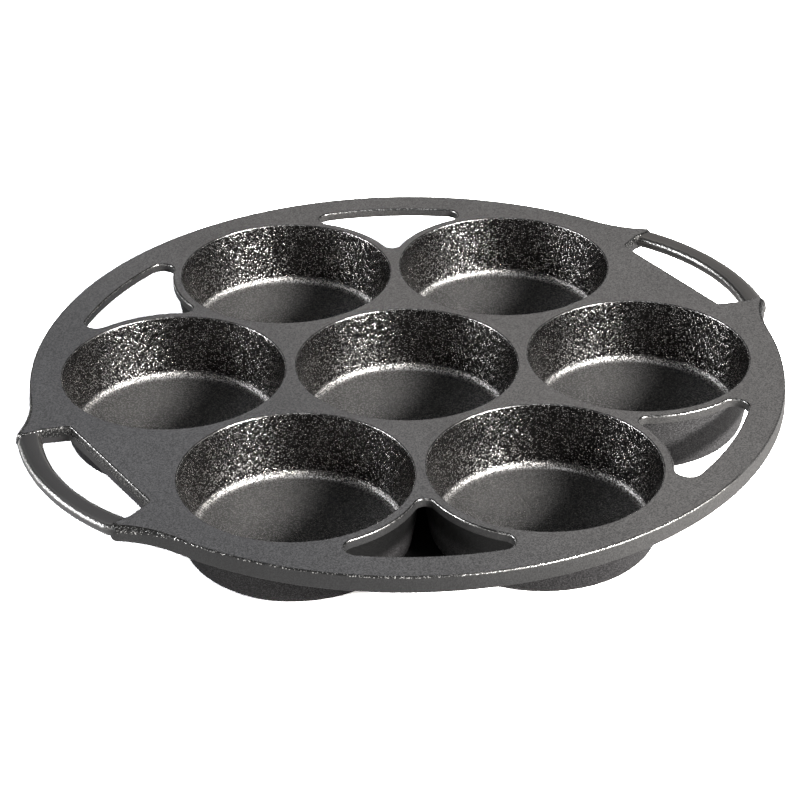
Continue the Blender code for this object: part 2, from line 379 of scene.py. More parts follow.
def rounded_edge(radius):
    """How far the steps of a rounded edge lie in from its side and down from its flat, the flat's first."""
    turns = [step * math.pi / 2 / ROUNDING_STEPS for step in range(ROUNDING_STEPS + 1)]
    return [(radius * (1 - math.sin(turn)), radius * (1 - math.cos(turn))) for turn in turns]


def smooth_step(share):
    """A share of 0 to 1 that starts and ends gently."""
    share = max(0, share)
    return share * share * (3 - 2 * share)


def shoulder_circles():
    """The centres of the hollow flare from the plate's edge and of the round tip it ends in."""
    bar_end_x = bar_side(BAR_OUTER_X, BAR_OUTER_RADIUS, HANDLE_HALF_LENGTH)
    tip = Vector((bar_end_x - SHOULDER_SET_IN - SHOULDER_CORNER, HANDLE_HALF_LENGTH + SHOULDER_CORNER))
    return meeting_point(ORIGIN, PLATE_RADIUS + FLARE_RADIUS, tip, FLARE_RADIUS + SHOULDER_CORNER), tip


def plate_outline(sizes):
    """The plate's edge with its four shoulders. The third number of a point is the rounding of its edge."""
    end_y = HANDLE_HALF_LENGTH
    flare, tip = shoulder_circles()
    knee = Vector((bar_side(BAR_INNER_X, BAR_INNER_RADIUS, end_y), end_y))
    slant = heading(Vector((FINGER_GAP_X, FINGER_GAP_HALF_LENGTH)), knee)
    drop = HANDLE_CORNER * (1 / math.cos(slant) - math.tan(slant))
    corner = Vector((FINGER_GAP_X + HANDLE_CORNER, FINGER_GAP_HALF_LENGTH - drop))
    outer = arc(ORIGIN, PLATE_RADIUS, math.pi / 2, heading(ORIGIN, flare))
    outer += arc(flare, FLARE_RADIUS, heading(flare, ORIGIN), heading(flare, tip))
    outer += arc(tip, SHOULDER_CORNER, heading(tip, flare), -math.pi / 4, SHOULDER_STEP)
    inner = arc(tip, SHOULDER_CORNER, -math.pi / 4, -math.pi / 2, SHOULDER_STEP)[1:]
    inner += [knee]
    inner += arc(corner, HANDLE_CORNER, math.pi / 2 + slant, math.pi, SHOULDER_STEP)
    shares = [smooth_step(1 - (point - tip).length / SHOULDER_ROUNDED_REACH) for point in outer]
    shares += [max(0, 1 - (point - inner[0]).length / SHOULDER_CORNER) for point in inner]
    extra = sizes.shoulder_rounding - sizes.rim_rounding
    quarter = []
    for point, share in zip(outer + inner, shares):
        quarter.append(Vector((*point, sizes.rim_rounding + extra * share)))
    return closed_outline(quarter, 4)


def plate_edge_rings(outline, base, up, spread):
    """Rings from the flat to the side of a clockwise outline. A point's third number is its rounding."""
    rings = [[] for step in range(ROUNDING_STEPS + 2)]
    for last, point, following in zip(outline[-1:] + outline[:-1], outline, outline[1:] + outline[:1]):
        before = (point - last).xy.orthogonal().normalized()
        after = (following - point).xy.orthogonal().normalized()
        outward = (before + after) / (1 + before.dot(after))
        wider = spread * max(0, outward.dot(point.xy.normalized()))
        steps = [(point.z + EVEN_BAND, 0)] + rounded_edge(point.z)
        for ring, (inset, drop) in zip(rings, steps):
            place = point.xy + (wider - inset) * outward
            ring.append((place.x, place.y, base - up * drop))
    return rings


def pocket_outline(sizes, widen):
    """The thin middle of the plate seen from below: round, but straight in front of each handle."""
    pad_x = ring_radius(sizes) * math.cos(CUP_ANGLES[0]) + bore_radius(sizes, DECK_UNDERSIDE)
    pad_x += WALL_THICKNESS + POCKET_CLEARANCE
    radius = PLATE_RADIUS - RIM_WIDTH
    corner_x = pad_x - POCKET_CORNER
    corner = Vector((corner_x, math.sqrt((radius - POCKET_CORNER) ** 2 - corner_x**2)))
    quarter = arc(ORIGIN, radius + widen, math.pi / 2, heading(ORIGIN, corner))
    quarter += arc(corner, POCKET_CORNER + widen, heading(ORIGIN, corner), 0, SHOULDER_STEP)
    return closed_outline(quarter, 4)


def window_outline(sizes, angle, widen):
    """A three-cornered window between the plate's edge and two cups, every side parallel to what it faces."""
    cup = ring_radius(sizes) * direction(math.pi / OUTER_CUPS)
    cup_radius = sizes.mouth_radius + WINDOW_CUP_EDGE
    apex_reach = math.sqrt((cup_radius + WINDOW_APEX_RADIUS) ** 2 - cup.y**2)
    apex = Vector((cup.x + apex_reach, 0))
    tip = meeting_point(cup, cup_radius + WINDOW_TIP_RADIUS, ORIGIN, WINDOW_RADIUS - WINDOW_TIP_RADIUS)
    half = arc(ORIGIN, WINDOW_RADIUS + widen, 0, heading(ORIGIN, tip))
    half += arc(tip, WINDOW_TIP_RADIUS + widen, heading(ORIGIN, tip), heading(tip, cup), SHOULDER_STEP)
    half += arc(cup, cup_radius - widen, heading(cup, tip), heading(cup, apex))
    half += arc(apex, WINDOW_APEX_RADIUS + widen, heading(apex, cup), math.pi, SHOULDER_STEP)
    turn = Matrix.Rotation(angle, 2)
    return [turn @ point for point in closed_outline(half, 2)]


def add_ring(bm, points, z=None):
    """A ring of vertices, which is level if it gets a height."""
    if z is None:
        return [bm.verts.new(point) for point in points]
    return [bm.verts.new((point.x, point.y, z)) for point in points]


def join_rings(bm, rings, material):
    """Bands of faces through rings of as many points each, with one material or a list of one for each."""
    bands = list(zip(rings, rings[1:]))
    materials = material if isinstance(material, list) else [material] * len(bands)
    for (near, far), paint in zip(bands, materials):
        for step in range(len(near)):
            face = bm.faces.new((near[step - 1], near[step], far[step], far[step - 1]))
            face.material_index = paint


def fill_between(bm, loops, up, material):
    """A flat face with holes, between closed loops."""
    edges = []
    for loop in loops:
        edges += [bm.edges.get((last, vert)) for last, vert in zip(loop[-1:] + loop[:-1], loop)]
    filled = bmesh.ops.triangle_fill(bm, use_beauty=True, edges=edges, normal=(0, 0, up))
    for item in filled["geom"]:
        if isinstance(item, bmesh.types.BMFace):
            item.material_index = material


def add_piece(name, bm, materials):
    """A smooth object from a closed bmesh, with its sharp edges kept sharp."""
    bmesh.ops.recalc_face_normals(bm, faces=bm.faces)
    mesh = bpy.data.meshes.new(name)
    bm.to_mesh(mesh)
    bm.free()
    for material in materials:
        mesh.materials.append(material)
    return show_piece(name, mesh)


def show_piece(name, mesh):
    mesh.shade_smooth()
    mesh.set_sharp_from_angle(angle=SHARP_ANGLE)
    piece = bpy.data.objects.new(name, mesh)
    bpy.context.scene.collection.objects.link(piece)
    return piece


def place_in_frame(piece, node):
    """The piece stands for a node of the model and moves with the pan's body."""
    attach(piece, "root")
    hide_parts(node)


# Node trees


def set_socket(tree, socket, value):
    """Gives a socket a value, or joins it to the socket that gives one."""
    if isinstance(value, bpy.types.NodeSocket):
        tree.links.new(value, socket)
    else:
        socket.default_value = value


def link_inputs(tree, node, inputs):
    for name, value in inputs.items():
        set_socket(tree, node.inputs[name], value)


def add_node(tree, kind, inputs=None, **settings):
    node = tree.nodes.new(kind)
    for name, value in settings.items():
        setattr(node, name, value)
    link_inputs(tree, node, inputs or {})
    return node


def calculate(tree, operation, *values, clamp=False):
    """The result of a Math node on up to three numbers or sockets."""
    inputs = dict(enumerate(values))
    return add_node(tree, "ShaderNodeMath", inputs, operation=operation, use_clamp=clamp).outputs[0]


def times(tree, first, second):
    return calculate(tree, "MULTIPLY", first, second)


def scaled(tree, vector, factor):
    """A colour or a place times a number."""
    node = add_node(tree, "ShaderNodeVectorMath", {0: vector, "Scale": factor}, operation="SCALE")
    return node.outputs["Vector"]


def axes_of(tree, place):
    return add_node(tree, "ShaderNodeSeparateXYZ", {"Vector": place}).outputs


def ramp_between(tree, value, low, high, to_low=0.0, to_high=1.0):
    """A value that goes smoothly from one number to another."""
    inputs = {"Value": value, "From Min": low, "From Max": high, "To Min": to_low, "To Max": to_high}
    return add_node(tree, "ShaderNodeMapRange", inputs, interpolation_type="SMOOTHSTEP").outputs["Result"]


def fade(tree, share, start, end):
    """Goes from one number to another as a share goes from 0 to 1."""
    return ramp_between(tree, share, 0.0, 1.0, start, end)


def mix_colours(tree, factor, first, second, blend="MIX"):
    node = add_node(tree, "ShaderNodeMix", data_type="RGBA", blend_type=blend)
    sockets = [socket for socket in node.inputs if socket.enabled]
    for socket, value in zip(sockets, (factor, first, second)):
        set_socket(tree, socket, value)
    return next(socket for socket in node.outputs if socket.enabled)


def noise(tree, place, scale, detail, roughness):
    inputs = {"Vector": place, "Scale": scale, "Detail": detail, "Roughness": roughness}
    return add_node(tree, "ShaderNodeTexNoise", inputs).outputs["Fac"]


def new_group(name, inputs, outputs):
    """An empty shader group with named inputs, given as (kind, name, value), and named outputs."""
    tree = bpy.data.node_groups.new(name, "ShaderNodeTree")
    for kind, title, value in inputs:
        socket = tree.interface.new_socket(title, in_out="INPUT", socket_type="NodeSocket" + kind)
        if value is not None:
            socket.default_value = value
    for kind, title in outputs:
        tree.interface.new_socket(title, in_out="OUTPUT", socket_type="NodeSocket" + kind)
    return tree, tree.nodes.new("NodeGroupInput").outputs, tree.nodes.new("NodeGroupOutput")


def make_grain_group():
    """Fine sand grain: a height, a tone that varies from grain to grain, and slow clouds."""
    tree, given, made = new_group(
        "sand_grain",
        [("Vector", "Place", None), ("Float", "Grain Size", 0.0005)],
        [("Float", "Height"), ("Float", "Tone"), ("Float", "Cloud")],
    )
    place = scaled(tree, given["Place"], calculate(tree, "DIVIDE", 1.0, given["Grain Size"]))
    fine = noise(tree, place, 1.0, 2.0, 0.6)
    broad = noise(tree, place, 0.21, 2.0, 0.5)
    cloud = noise(tree, place, 0.02, 3.0, 0.55)
    results = {
        "Height": calculate(tree, "MULTIPLY_ADD", broad, 0.3, times(tree, fine, 0.7)),
        "Tone": ramp_between(tree, fine, 0.3, 0.7),
        "Cloud": ramp_between(tree, cloud, 0.3, 0.7),
    }
    link_inputs(tree, made, results)
    return tree


def make_pebble_group():
    """Pebbled cast skin: rounded humps of uneven size, and a mask of the glossy spots that catch light."""
    tree, given, made = new_group(
        "pebbled_skin",
        [("Vector", "Place", None), ("Float", "Pebble Size", 0.0007)],
        [("Float", "Height"), ("Float", "Fleck")],
    )
    place = scaled(tree, given["Place"], calculate(tree, "DIVIDE", 1.0, given["Pebble Size"]))
    cells = add_node(tree, "ShaderNodeTexVoronoi", {"Vector": place, "Scale": 1.0}).outputs
    away = cells["Distance"]
    chance = add_node(tree, "ShaderNodeSeparateColor", {"Color": cells["Color"]}).outputs["Red"]
    spot = ramp_between(tree, away, 0.34, 0.50, 1.0, 0.0)
    results = {
        "Height": ramp_between(tree, away, 0.2, 0.8, 1.0, 0.0),
        "Fleck": times(tree, spot, ramp_between(tree, chance, 0.40, 0.60)),
    }
    link_inputs(tree, made, results)
    return tree


def make_patina_and_light_group():
    """Slow changes of colour in the seasoning, with painted light that makes it warmer and paler towards +X.
    """
    tree, given, made = new_group(
        "seasoning",
        [("Vector", "Place", None), ("Color", "Colour", (0.1, 0.1, 0.1, 1)), ("Float", "Change", 0.2)],
        [("Color", "Colour")],
    )
    # Painted light: cooler and darker towards -X, warmer and paler towards +X
    painted_light_share = ramp_between(tree, axes_of(tree, given["Place"])["X"], *PAINTED_TINT_X)
    tint = mix_colours(tree, painted_light_share, PAINTED_SHADE_TINT, PAINTED_LIGHT_TINT)
    tinted = mix_colours(tree, 1.0, given["Colour"], tint, "MULTIPLY")
    darkest = calculate(tree, "SUBTRACT", 1.0, given["Change"])
    palest = calculate(tree, "ADD", 1.0, given["Change"])
    slow = noise(tree, given["Place"], 22.0, 3.0, 0.5)
    level = ramp_between(tree, slow, 0.3, 0.7, darkest, palest)
    link_inputs(tree, made, {"Colour": scaled(tree, tinted, level)})
    return tree


def use_group(tree, name, make, inputs):
    """The outputs of a shader group, which is made the first time that it is used."""
    group = bpy.data.node_groups.get(name) or make()
    return add_node(tree, "ShaderNodeGroup", inputs, node_tree=group).outputs


def grain_at(tree, place, size):
    return use_group(tree, "sand_grain", make_grain_group, {"Place": place, "Grain Size": size})


def pebbles_at(tree, place, size):
    return use_group(tree, "pebbled_skin", make_pebble_group, {"Place": place, "Pebble Size": size})


# The seasoning's colour, with its painted light along X
def seasoned(tree, place, colour, change):
    inputs = {"Place": place, "Colour": colour_value(colour), "Change": change}
    return use_group(tree, "seasoning", make_patina_and_light_group, inputs)["Colour"]


def colour_value(colour):
    return (*colour, 1.0)


def add_bump(tree, shader, height, depth):
    bump = add_node(tree, "ShaderNodeBump", {"Height": height, "Distance": depth, "Strength": 1.0})
    link_inputs(tree, shader, {"Normal": bump.outputs["Normal"]})


def wear_down(tree, shader, worn, skin, bare):
    """Bare iron where the skin is worn. It is metallic where worn even a little, so only its colour fades."""
    colour = mix_colours(tree, worn, skin, bare)
    link_inputs(tree, shader, {"Base Color": colour, "Metallic": ramp_between(tree, worn, 0.0, 0.2)})


def read_zone(tree, name):
    """How much of a finish the mesh has at each place."""
    return add_node(tree, "ShaderNodeAttribute", attribute_name=name).outputs["Fac"]


def finish_deck(tree, shader, place, finish):
    """Flat satin iron with a fine even grain."""
    grain = grain_at(tree, place, finish.grain_size)
    tone = fade(tree, grain["Tone"], *GRAIN_TONES)
    colour = scaled(tree, seasoned(tree, place, finish.deck_colour, 0.05), tone)
    roughness = fade(tree, grain["Cloud"], *DECK_ROUGHNESS)
    link_inputs(tree, shader, {"Base Color": colour, "Roughness": roughness, "Specular IOR Level": 0.2})
    add_bump(tree, shader, grain["Height"], DECK_GRAIN_DEPTH)


def finish_sides(tree, shader, place, finish):
    """Cast sides of the plate and its underside, left as they came from the mould, with painted light that
    makes them paler towards +X.
    """
    grain = grain_at(tree, place, finish.grain_size)
    # Painted light: the sides paler towards +X
    paler = ramp_between(tree, axes_of(tree, place)["X"], *PAINTED_SIDE_LIGHT_X, *SIDE_PAINTED_LIGHT_TONES)
    tone = times(tree, fade(tree, grain["Tone"], *GRAIN_TONES), paler)
    colour = scaled(tree, seasoned(tree, place, finish.side_colour, 0.12), tone)
    link_inputs(tree, shader, {"Base Color": colour, "Roughness": SIDE_ROUGHNESS, "Specular IOR Level": 0.5})
    add_bump(tree, shader, grain["Height"], SIDE_GRAIN_DEPTH)


def finish_cups(tree, shader, place, finish):
    """Glossy pebbled walls, satin floors, a bright line between them, and outsides with painted shade under
    the plate and painted light towards +X.
    """
    pebbled, worn, outside = [read_zone(tree, name) for name in SKIN_ZONES]
    pebbles = pebbles_at(tree, place, finish.pebble_size)
    grain = grain_at(tree, place, finish.grain_size)
    axes = axes_of(tree, place)

    inside = mix_colours(tree, pebbled, colour_value(finish.floor_colour), colour_value(finish.wall_colour))
    # Painted light: the outsides paler towards +X
    painted_light = ramp_between(tree, axes["X"], *PAINTED_LIGHT_X)
    cast = mix_colours(tree, painted_light, colour_value(finish.outside_colour), PAINTED_LIGHT_IRON)
    # Painted shade: the outsides darker on their upper part under the plate, towards -X
    upper = ramp_between(tree, axes["Z"], *PAINTED_SHADE_Z)
    painted_shade = times(tree, upper, ramp_between(tree, axes["X"], *PAINTED_SHADE_X, 1.0, 0.0))
    body = mix_colours(tree, outside, inside, mix_colours(tree, painted_shade, cast, PAINTED_SHADE_IRON))
    tone = fade(tree, grain["Tone"], *CUP_GRAIN_TONES)
    tone = times(tree, tone, ramp_between(tree, pebbles["Height"], 0.2, 0.8, *PEBBLE_TONES))

    specks = times(tree, pebbles["Fleck"], fade(tree, pebbled, 0.3, 1.0))
    specks = times(tree, specks, calculate(tree, "SUBTRACT", 1.0, outside))
    line = times(tree, worn, ramp_between(tree, pebbles["Height"], 0.3, 0.7, 0.10, 0.82))
    wear_down(tree, shader, calculate(tree, "MAXIMUM", specks, line), scaled(tree, body, tone), BARE_SPECK)

    roughness = ramp_between(tree, pebbled, 0.65, 1.0, FLOOR_ROUGHNESS, WALL_ROUGHNESS)
    roughness = calculate(tree, "MULTIPLY_ADD", outside, OUTSIDE_ROUGHER, roughness)
    link_inputs(tree, shader, {"Roughness": roughness, "Specular IOR Level": 0.2})
    humps = times(tree, pebbles["Height"], ramp_between(tree, pebbled, 0.3, 0.9, 0.15, 1.0))
    add_bump(tree, shader, calculate(tree, "MULTIPLY_ADD", grain["Height"], 0.9, humps), CUP_PEBBLE_DEPTH)


def finish_edges(tree, shader, place, finish):
    """Rounded edges, worn to a broken bright line. The front is rubbed evenly, and calmer at its right."""
    pebbles = pebbles_at(tree, place, EDGE_PEBBLES)
    axes = axes_of(tree, place)
    rubbed = ramp_between(tree, axes["Y"], *RUBBED_Y, 0.35, 0.0)
    front = ramp_between(tree, axes["Y"], *CALM_Y, 1.0, 0.0)
    calm = times(tree, ramp_between(tree, axes["X"], *CALM_X), front)
    worn = calculate(tree, "MAXIMUM", times(tree, pebbles["Fleck"], fade(tree, calm, 1.0, 0.3)), rubbed)
    skin = mix_colours(tree, calm, colour_value(finish.edge_colour), colour_value(finish.side_colour))
    wear_down(tree, shader, worn, skin, BARE_IRON)
    link_inputs(tree, shader, {"Roughness": fade(tree, worn, *EDGE_ROUGHNESS)})
    add_bump(tree, shader, pebbles["Height"], EDGE_PEBBLE_DEPTH)


def finish_lips(tree, shader, place, finish):
    """Ground edges of the mouths and windows, worn to a thin bright line."""
    pebbles = pebbles_at(tree, place, LIP_PEBBLES)
    worn = ramp_between(tree, pebbles["Height"], 0.35, 0.60, 0.25, 0.90)
    wear_down(tree, shader, worn, colour_value(finish.side_colour), BARE_LIP)
    link_inputs(tree, shader, {"Roughness": LIP_ROUGHNESS})
    add_bump(tree, shader, pebbles["Height"], LIP_PEBBLE_DEPTH)


def finish_gaps(tree, shader, place, finish):
    """Cut walls of the finger gaps, rough and speckled above and smoother below."""
    pebbles = pebbles_at(tree, place, EDGE_PEBBLES)
    upper = ramp_between(tree, axes_of(tree, place)["Z"], *GAP_ROUGH_Z)
    skin = mix_colours(tree, upper, colour_value(finish.outside_colour), colour_value(finish.edge_colour))
    specks = times(tree, pebbles["Fleck"], fade(tree, upper, 0.0, 0.4))
    wear_down(tree, shader, specks, skin, BARE_IRON)
    link_inputs(tree, shader, {"Roughness": fade(tree, upper, *GAP_ROUGHNESS)})
    add_bump(tree, shader, times(tree, pebbles["Height"], fade(tree, upper, 0.15, 1.0)), GAP_PEBBLE_DEPTH)


def finish_bars(tree, shader, place, finish):
    """Handled iron: smoother and darker, worn to a rough bright band along the slopes of the bar."""
    grain = grain_at(tree, place, BAR_GRAIN)
    pebbles = pebbles_at(tree, place, BAR_PEBBLES)
    broken = ramp_between(tree, pebbles["Height"], 0.2, 0.8, 0.45, 0.95)
    worn = times(tree, read_zone(tree, "worn"), broken)
    wear_down(tree, shader, worn, seasoned(tree, place, finish.bar_colour, 0.12), BARE_IRON)
    roughness = fade(tree, grain["Cloud"], *BAR_ROUGHNESS)
    link_inputs(tree, shader, {"Roughness": roughness, "Specular IOR Level": 0.8})
    humps = times(tree, pebbles["Height"], worn)
    add_bump(tree, shader, calculate(tree, "MULTIPLY_ADD", grain["Height"], 0.3, humps), BAR_PEBBLE_DEPTH)


FINISHES = {
    "plate_iron": finish_deck,
    "edge_iron_skin": finish_edges,
    "cup_iron_skin": finish_cups,
    "side_iron": finish_sides,
    "gap_iron_skin": finish_gaps,
    "lip_iron": finish_lips,
    "bar_iron_skin": finish_bars,
}


def get_material(name, finish):
    """One of the iron's materials, which is made the first time that it is used."""
    material = bpy.data.materials.get(name)
    if material is None:
        material = bpy.data.materials.new(name)
        material.use_nodes = True
        tree = material.node_tree
        place = tree.nodes.new("ShaderNodeTexCoord").outputs["Object"]
        FINISHES[name](tree, tree.nodes["Principled BSDF"], place, finish)
    return material


def viewing_masks(tree):
    """What the camera sees straight, and what it sees straight, by reflection or through glass."""
    path = tree.nodes.new("ShaderNodeLightPath").outputs
    seen = calculate(tree, "ADD", path["Is Camera Ray"], path["Is Glossy Ray"])
    return path["Is Camera Ray"], calculate(tree, "ADD", seen, path["Is Transmission Ray"], clamp=True)


def make_floor_material(studio):
    """Pale floor that the camera sees as white where no shadow falls, with a painted shadow close under the
    pan.
    """
    material = bpy.data.materials.new("studio_floor")
    material.use_nodes = True
    tree = material.node_tree
    tree.nodes.clear()
    straight, seen = viewing_masks(tree)
    colour = mix_colours(tree, seen, colour_value(studio.floor_colour), FLOOR_REFLECTED)
    colour = mix_colours(tree, straight, colour, FLOOR_IN_VIEW)
    place = tree.nodes.new("ShaderNodeTexCoord").outputs["Object"]
    away = add_node(tree, "ShaderNodeVectorMath", {0: place}, operation="LENGTH").outputs["Value"]
    # Painted shadow on the floor under the pan, for camera rays only
    under = times(tree, ramp_between(tree, away, *PAINTED_SHADOW_RADII, 1.0, 0.0), straight)
    colour = mix_colours(tree, under, colour, FLOOR_PAINTED_SHADOW)
    paint = add_node(tree, "ShaderNodeBsdfDiffuse", {"Color": colour})
    add_node(tree, "ShaderNodeOutputMaterial", {"Surface": paint.outputs["BSDF"]})
    return material


def make_sky(studio):
    """A backdrop round the floor, under a dim ceiling. The camera sees white, and so do low reflections."""
    world = bpy.data.worlds.new("studio_sky")
    world.use_nodes = True
    tree = world.node_tree
    rise = axes_of(tree, tree.nodes.new("ShaderNodeTexCoord").outputs["Generated"])["Z"]
    straight, seen = viewing_masks(tree)
    low = fade(tree, seen, BACKDROP_LEVEL, 1.0)
    high = fade(tree, straight, studio.sky_strength, 1.0)
    level = ramp_between(tree, rise, BACKDROP_TOP, BACKDROP_TOP + BACKDROP_FADE, low, high)
    link_inputs(tree, tree.nodes["Background"], {"Color": (1, 1, 1, 1), "Strength": level})
    bpy.context.scene.world = world


# Geometry


def make_deck(sizes, materials):
    """The pierced plate, from its flat top over every edge to the hollow underside."""
    top, edge, wall, under, rough, lip = range(len(DECK_MATERIALS))
    bm = bmesh.new()
    outline = plate_outline(sizes)
    upper = [add_ring(bm, ring) for ring in plate_edge_rings(outline, DECK_TOP, 1, 0)]
    lower = [add_ring(bm, ring) for ring in plate_edge_rings(outline, RIM_UNDERSIDE, -1, RIM_SPREAD)]
    join_rings(bm, upper, [top] + [edge] * ROUNDING_STEPS)
    join_rings(bm, [upper[-1], lower[-1]], under)
    join_rings(bm, lower, under)
    top_loops, under_loops = [upper[0]], []
    for centre in cup_centres(sizes):
        rings = []
        for radius, z in mouth_profile(sizes):
            rings.append(add_ring(bm, [centre + radius * spoke for spoke in spokes(sizes)], z))
        join_rings(bm, rings, [top] + [lip] * (ROUNDING_STEPS - 1) + [wall] * 2 + [under] * 2)
        top_loops.append(rings[0])
        under_loops.append(rings[-1])
    for angle in BETWEEN_CUPS:
        if abs(ring_radius(sizes) * math.sin(angle)) > HANDLE_HALF_LENGTH:
            rings = []
            for widen, z in window_profile(sizes):
                rings.append(add_ring(bm, window_outline(sizes, angle, widen), z))
            join_rings(bm, rings, [top] + [lip] * ROUNDING_STEPS + [under] * (ROUNDING_STEPS + 2))
            top_loops.append(rings[0])
            under_loops.append(rings[-1])
    pocket = [add_ring(bm, pocket_outline(sizes, widen), z) for widen, z in pocket_profile()]
    join_rings(bm, pocket, under)
    under_loops.append(pocket[-1])
    fill_between(bm, top_loops, 1, top)
    fill_between(bm, [lower[0], pocket[0]], -1, under)
    fill_between(bm, under_loops, -1, under)
    paint_finger_gaps(bm, (under, rough), (edge, lip))
    mark_faces(bm)
    return add_piece("deck", bm, materials)


def paint_finger_gaps(bm, walls, edges):
    """Finger gaps get other materials: (plain, rough) for their walls and (plain, ground) for their edges."""
    for face in bm.faces:
        centre = face.calc_center_median()
        x, y = abs(centre.x), abs(centre.y)
        if face.material_index == walls[0] and y < HANDLE_HALF_LENGTH and x > FINGER_GAP_X - EVEN_BAND:
            if abs(face.normal.z) < LEVEL_NORMAL:
                face.material_index = walls[1]
        if face.material_index == edges[0] and y < FINGER_GAP_HALF_LENGTH and x < FINGER_GAP_X:
            face.material_index = edges[1]


def mark_faces(bm):
    """The cups' pattern on the mouths' walls, as strong as it is lower down in the cups."""
    layers = [bm.verts.layers.float.new(name) for name in SKIN_ZONES]
    for vert in bm.verts:
        vert[layers[0]] = 1.0


def spokes(sizes):
    """Directions of the steps round a cup, clockwise from +X."""
    return [direction(-math.tau * step / sizes.mouth_segments) for step in range(sizes.mouth_segments)]


def mouth_profile(sizes):
    """Radius and height from the flat top over the lip, down to the seam and back into the plate."""
    lip, draft = sizes.lip_rounding, sizes.cup_draft
    centre = Vector((bore_radius(sizes, DECK_TOP - lip) + lip / math.cos(draft), DECK_TOP - lip))
    profile = [Vector((centre.x + EVEN_BAND, DECK_TOP))]
    profile += arc(centre, lip, math.pi / 2, math.pi - draft, (math.pi / 2 - draft) / ROUNDING_STEPS)
    seam = bore_radius(sizes, SEAM_HEIGHT)
    profile += [Vector((seam, SEAM_HEIGHT)), Vector((seam + SEAM_OVERLAP, SEAM_HEIGHT))]
    return profile + [Vector((seam + SEAM_OVERLAP, DECK_UNDERSIDE))]


def window_profile(sizes):
    """How far a window has widened at each height, from the flat top over its edges to the underside."""
    high, low = sizes.window_rounding, WINDOW_LOWER_EDGE
    profile = [(high + EVEN_BAND, DECK_TOP)]
    profile += [(inset, DECK_TOP - drop) for inset, drop in rounded_edge(high)]
    profile += [(inset, DECK_UNDERSIDE + drop) for inset, drop in reversed(rounded_edge(low))]
    return profile + [(low + EVEN_BAND, DECK_UNDERSIDE)]


def pocket_profile():
    """How far the hollow has widened at each height, from the rim's underside up to the plate's."""
    profile = [(POCKET_DRAFT + POCKET_LIP + EVEN_BAND, RIM_UNDERSIDE)]
    profile += [(POCKET_DRAFT + inset, RIM_UNDERSIDE + drop) for inset, drop in rounded_edge(POCKET_LIP)]
    profile += [(-drop, DECK_UNDERSIDE - inset) for inset, drop in rounded_edge(POCKET_FILLET)]
    return profile + [(-POCKET_FILLET - EVEN_BAND, DECK_UNDERSIDE)]


def cup_profile(sizes):
    """(radius, height, pebbled, worn, outside) from the floor's middle, over the top, to the middle below."""
    draft = sizes.cup_draft
    inner = Vector((0, FLOOR_THICKNESS + FLOOR_FILLET))
    inner.x = bore_radius(sizes, inner.y) - FLOOR_FILLET / math.cos(draft)
    fillet = arc(inner, FLOOR_FILLET, -math.pi / 2, -draft, FLOOR_FILLET_STEP)
    rows = [(inner.x * part, FLOOR_THICKNESS, 0.0, 0.0, 0.0) for part in FLOOR_ROWS]
    for count, point in enumerate(fillet):
        up = count / (len(fillet) - 1)
        rows.append((*point, up, math.sin(math.pi * up), 0.0))
    wall_foot = fillet[-1].y
    for row in range(1, WALL_ROWS + 1):
        z = wall_foot + (SEAM_HEIGHT - wall_foot) * row / WALL_ROWS
        rows.append((bore_radius(sizes, z), z, 1.0, 0.0, 0.0))
    top = bore_radius(sizes, SEAM_HEIGHT) + SEAM_OVERLAP
    side = bore_radius(sizes, DECK_UNDERSIDE) + WALL_THICKNESS
    root = Vector((side + UNDER_DECK_FILLET, DECK_UNDERSIDE - UNDER_DECK_FILLET))
    foot_side = bore_radius(sizes, FOOT_FILLET) + WALL_THICKNESS - FOOT_SET_IN
    foot = Vector((foot_side - FOOT_FILLET / math.cos(draft), FOOT_FILLET))
    outer = [(top, SEAM_HEIGHT), (top, CUP_SHELF), (root.x, CUP_SHELF)]
    outer += arc(root, UNDER_DECK_FILLET, math.pi / 2, math.pi - draft, UNDER_DECK_FILLET_STEP)
    outer += arc(foot, FOOT_FILLET, -draft, -math.pi / 2, FOOT_FILLET_STEP)
    outer += [(foot.x * part, 0.0) for part in FOOT_ROWS]
    return rows + [(*point, 0.0, 0.0, 1.0) for point in outer]


